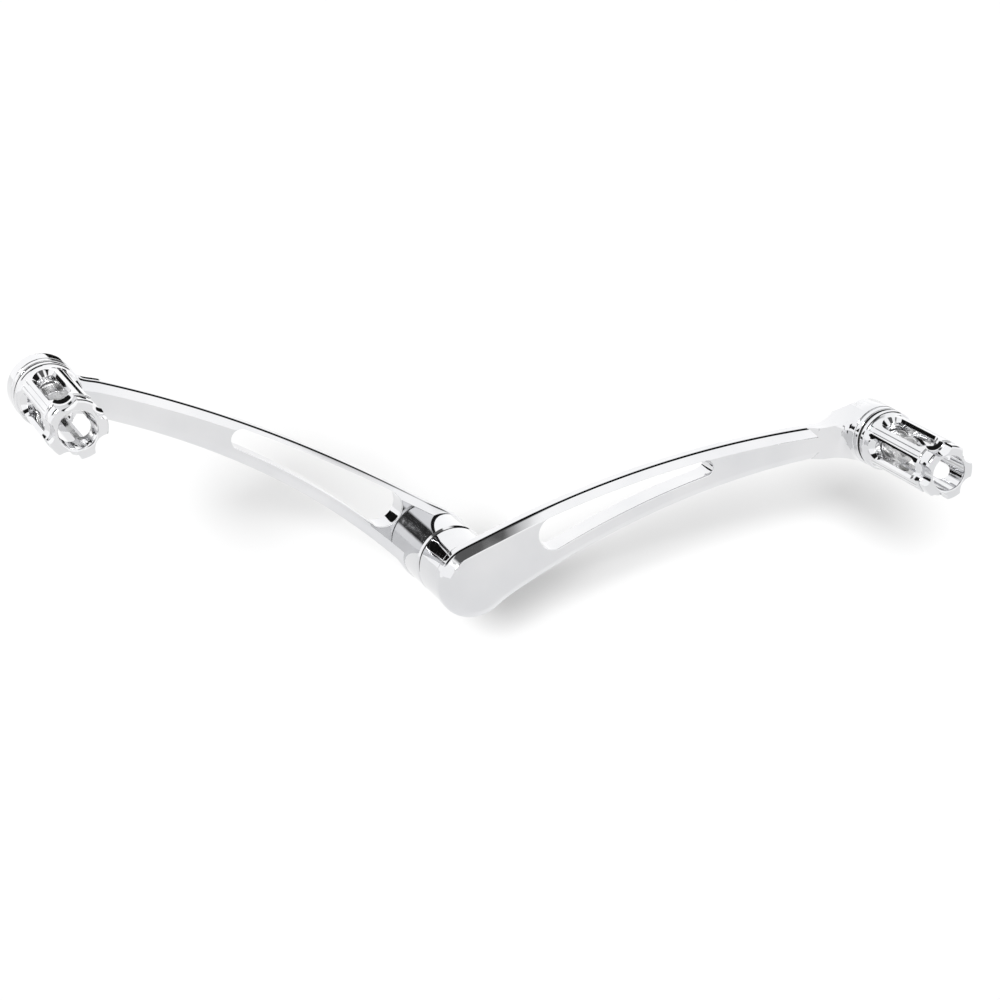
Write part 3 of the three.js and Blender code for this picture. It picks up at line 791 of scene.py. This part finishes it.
def cap_screw(thread_radius, head_radius, head_height, socket, shank):
    """Socket-head cap screw: knurled head outboard of its own origin, threaded shank inboard."""
    segments = 180
    knurls = 60
    pitch = thread_radius * 0.3
    levels = [(0, -shank), (thread_radius * 0.8, -shank)]
    turns = max(1, int((shank - 2) / pitch))
    for turn in range(turns):
        base = -shank + 0.6 + turn * pitch
        levels += [(thread_radius * 0.86, base), (thread_radius, base + pitch * 0.5)]
    levels += [(thread_radius * 0.9, -0.5), (thread_radius * 0.9, 0)]
    knurl_low = len(levels) + 1
    levels += [(head_radius - 0.3, 0), (head_radius, 0.4), (head_radius, head_height * 0.55),
               (head_radius - 0.12, head_height * 0.62), (head_radius - 0.12, head_height - 0.7)]
    levels += arc((head_radius - 0.75, head_height - 0.65), 0.65, 10, 90, 4) + [(0, head_height)]
    vertices = []
    for level, (radius, along) in enumerate(levels):
        for i in range(segments):
            depth = 0.22 if level in (knurl_low, knurl_low + 1) and i % (segments // knurls) == 0 else 0
            x, z = polar(radius - depth if radius > 1 else radius, 360 * i / segments)
            vertices.append((x, -along, z))
    screw = mesh_object("screw", vertices, ring_faces(len(levels), segments))
    hexagon = turned("hexagon", [(0, head_height * 0.45), (socket / math.sqrt(3), head_height * 0.45),
                                 (socket / math.sqrt(3), head_height + 1), (0, head_height + 1)], 6)
    return boolean(screw, hexagon, "DIFFERENCE")


def split_ring(outer, inner, thickness):
    washer = ring(outer, inner, thickness, 0.15)
    return boolean(washer, box_cutter(0, outer + 2, -1, thickness + 1, -0.6, 0.6), "DIFFERENCE")


def peg(prefix, body):
    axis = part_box(f"{prefix}_peg_barrel")
    centre = (axis[0] + axis[1]) / 2 / MM

    def place(obj, node, along, material, edge=0, smooth=32):
        shift(obj, centre.x, along, centre.z)
        return finish_piece(obj, f"{prefix}_{node}", body, material, edge, smooth)

    base = outboard(f"{prefix}_peg_barrel")
    spacer = ring(FLANGE_RADIUS, BOLT_HOLE, SPACER_THICKNESS, 0.4)
    place(spacer, "peg_spacer", outboard(f"{prefix}_peg_spacer"), CHROME)
    seal = rubber_ring(PEG_RING_RADIUS, BOLT_HOLE + 2, PEG_RING_THICKNESS)
    place(seal, "peg_rubber_ring", outboard(f"{prefix}_peg_rubber_ring"), RUBBER)
    place(peg_barrel(), "peg_barrel", base, CHROME, 0.12)
    lock = split_ring(LOCK_WASHER_RADIUS, BOLT_HOLE, LOCK_WASHER_THICKNESS)
    place(lock, "peg_lock_washer", outboard(f"{prefix}_peg_lock_washer"), STEEL)
    flat = ring(FLAT_WASHER_RADIUS, BOLT_HOLE, FLAT_WASHER_THICKNESS)
    place(flat, "peg_flat_washer", outboard(f"{prefix}_peg_flat_washer"), STEEL)
    head = outboard(f"{prefix}_peg_bolt", 1) - PEG_HEAD_HEIGHT
    shank = head - outboard(f"{prefix}_peg_bolt")
    bolt = cap_screw(PEG_THREAD_RADIUS, PEG_HEAD_RADIUS, PEG_HEAD_HEIGHT, PEG_SOCKET, shank)
    place(bolt, "peg_bolt", head, STEEL)


def arm_hardware(lever, lug_middle):
    """Thread insert, pinch bolt and washer of one arm."""
    name, body = lever["name"], lever["name"] + "_lever"
    insert = ring(INSERT_RADIUS, BOLT_HOLE, INSERT_LENGTH)
    low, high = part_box(f"{name}_thread_insert")
    shift(insert, (low.x + high.x) / 2 / MM, outboard(f"{name}_thread_insert"), (low.z + high.z) / 2 / MM)
    finish_piece(insert, f"{name}_thread_insert", body, STEEL)
    upright = Matrix.Rotation(radians(-90), 4, "X")
    washer = ring(PINCH_WASHER_RADIUS, PINCH_HOLE_RADIUS, PINCH_WASHER_THICKNESS)
    bolt = cap_screw(PINCH_THREAD_RADIUS, PINCH_HEAD_RADIUS, PINCH_HEAD_HEIGHT, PINCH_SOCKET, PINCH_GRIP)
    for obj, node, height in ((washer, "pinch_washer", GAP),
                              (bolt, "pinch_bolt", PINCH_WASHER_THICKNESS + 2 * GAP)):
        move(obj, upright)
        move(obj, Matrix.Translation((PINCH_OFFSET, -lug_middle, LUG_HALF + height)))
        spin(obj, CLAMP_DIRECTION)
        finish_piece(obj, f"{name}_{node}", body, STEEL)


HUB_RING_RADIUS = HUB_RADIUS - 0.9
HUB_RING_BORE = SPLINE_MAJOR + 3
HUB_RING_THICKNESS = 1.2

peg("toe", "toe_peg")
peg("heel", "heel_peg")
arm_hardware(TOE, TOE_HUB_FACE - LUG_THICKNESS / 2 - LUG_INSET)
arm_hardware(HEEL, HEEL_HUB_FACE + LUG_THICKNESS / 2 + LUG_INSET)
hub_ring = rubber_ring(HUB_RING_RADIUS, HUB_RING_BORE, HUB_RING_THICKNESS)
shift(hub_ring, 0, outboard("hub_rubber_ring"))
finish_piece(hub_ring, "hub_rubber_ring", "toe_lever", RUBBER)

# ------------------------------------------------------------------ stage and light

CLOCKING_LIMIT = 30   # degrees that the heel lever swings down from rest


def floor():
    """A pale floor just below the lowest point that the heel lever's peg end reaches."""
    swing = radians(CLOCKING_LIMIT - HEEL["lift"])
    lowest = -(ARM_LENGTH * math.sin(swing) + PEG_END_RADIUS + 1) * MM
    bpy.ops.mesh.primitive_plane_add(size=14, location=(0, 0, lowest))
    plane = bpy.context.object
    plane.name = "floor"
    material, tree, shader = node_material("floor")
    colour = tint(tree, noise(tree, 3, 2), (0.87, 0.87, 0.87), (0.88, 0.88, 0.88))
    tree.links.new(colour, shader.inputs["Base Color"])
    shader.inputs["Roughness"].default_value = 0.9
    shader.inputs["Specular IOR Level"].default_value = 0
    plane.data.materials.append(material)


def soft_box(tree, direction, low, high, soft=0.03):
    """1 inside a patch of the sky, 0 outside: low and high bound the direction's x, y and z."""
    inside = None
    for axis in range(3):
        for edge, rising in ((low[axis], True), (high[axis], False)):
            before, after = (0, 1) if rising else (1, 0)
            step = ramp(tree, direction[axis], edge - soft, edge + soft, before, after)
            if inside is None:
                inside = step
                continue
            product = tree.nodes.new("ShaderNodeMath")
            product.operation = "MULTIPLY"
            tree.links.new(inside, product.inputs[0])
            tree.links.new(step, product.inputs[1])
            inside = product.outputs[0]
    return inside


SKY_STRENGTH = 1.28
SKY_GAPS = [   # lowest and highest direction, and darkness
    ((-1.2, -0.35, 0.48), (1.2, 0.45, 1.2), 0.99),
    ((-0.5, -1.2, 0.2), (-0.12, -0.6, 0.5), 0.97),
    ((-0.45, -0.85, 0.56), (0.02, -0.3, 1.2), 0.9),
]


def studio_world():
    """A white tent with dark gaps, as a studio has between its diffusers."""
    world = bpy.data.worlds.new("studio")
    scene.world = world
    world.use_nodes = True
    tree = world.node_tree
    place = tree.nodes.new("ShaderNodeTexCoord")
    split = tree.nodes.new("ShaderNodeSeparateXYZ")
    tree.links.new(place.outputs["Generated"], split.inputs[0])
    direction = [split.outputs[i] for i in range(3)]
    total = None
    for low, high, darkness in SKY_GAPS:
        gap = ramp(tree, soft_box(tree, direction, low, high), 0, 1, 1, 1 - darkness)
        if total is None:
            total = gap
            continue
        product = tree.nodes.new("ShaderNodeMath")
        product.operation = "MULTIPLY"
        tree.links.new(total, product.inputs[0])
        tree.links.new(gap, product.inputs[1])
        total = product.outputs[0]
    background = tree.nodes["Background"]
    tree.links.new(total, background.inputs["Color"])
    background.inputs["Strength"].default_value = SKY_STRENGTH


KEY_ENERGY = 4.2
KEY_SOFTNESS = 9      # degrees across
KEY_AZIMUTH = -30     # degrees, to the left of straight in front
KEY_ELEVATION = 24


def key_light():
    """A broad soft light from low in front, a little to the left of the viewer."""
    light = bpy.data.lights.new("key", "SUN")
    light.energy = KEY_ENERGY
    light.angle = radians(KEY_SOFTNESS)
    key = bpy.data.objects.new("key", light)
    azimuth, elevation = radians(KEY_AZIMUTH), radians(KEY_ELEVATION)
    back = Vector((math.sin(azimuth) * math.cos(elevation), -math.cos(azimuth) * math.cos(elevation),
                   math.sin(elevation)))
    key.rotation_euler = (-back).to_track_quat("-Z", "Y").to_euler()
    scene.collection.objects.link(key)


def black_card(centre, width, height):
    """A small black flag behind the hubs: only the chrome sees it."""
    bpy.ops.mesh.primitive_plane_add(size=1, location=centre)
    card = bpy.context.object
    card.name = "black_card"
    card.scale = (width, height, 1)
    card.rotation_euler = (-Vector(centre)).to_track_quat("Z", "Y").to_euler()
    material, _, shader = node_material("black_card")
    shader.inputs["Base Color"].default_value = (0.005, 0.005, 0.005, 1)
    shader.inputs["Roughness"].default_value = 1
    shader.inputs["Specular IOR Level"].default_value = 0
    card.data.materials.append(material)
    card.visible_camera = False
    card.visible_diffuse = False
    card.visible_shadow = False


floor()
black_card(centre=(-0.10, 0.235, 0.115), width=0.10, height=0.09)
studio_world()
key_light()
